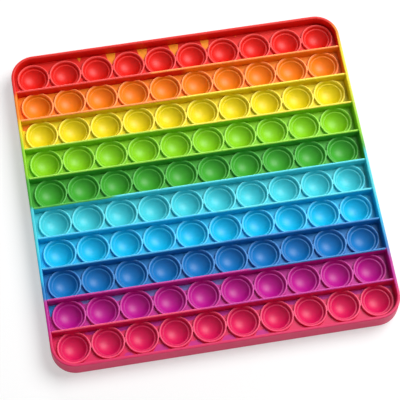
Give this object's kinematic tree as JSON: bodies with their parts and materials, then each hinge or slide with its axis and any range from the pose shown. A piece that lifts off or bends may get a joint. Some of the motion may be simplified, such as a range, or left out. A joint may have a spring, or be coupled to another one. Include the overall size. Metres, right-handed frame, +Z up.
{
  "type": "push bubble fidget board",
  "caption": "Square moulded silicone board with rows of round pressed-in bubbles between low ribs, inside a raised rim with rounded corners.",
  "frame": {"origin": "centre of the board, on the surface that the rim rests on", "axes": "+X along a row of bubbles, +Y from the pink row to the red row, +Z up out of the bubbles' mouths"},
  "size_m": [0.2, 0.2, 0.0112],
  "materials": {
    "silicone": "satin moulded silicone, coloured row by row from red through yellow, green and blue to pink"
  },
  "bodies": {
    "root": {"bubble_board": "silicone"}
  },
  "joints": []
}
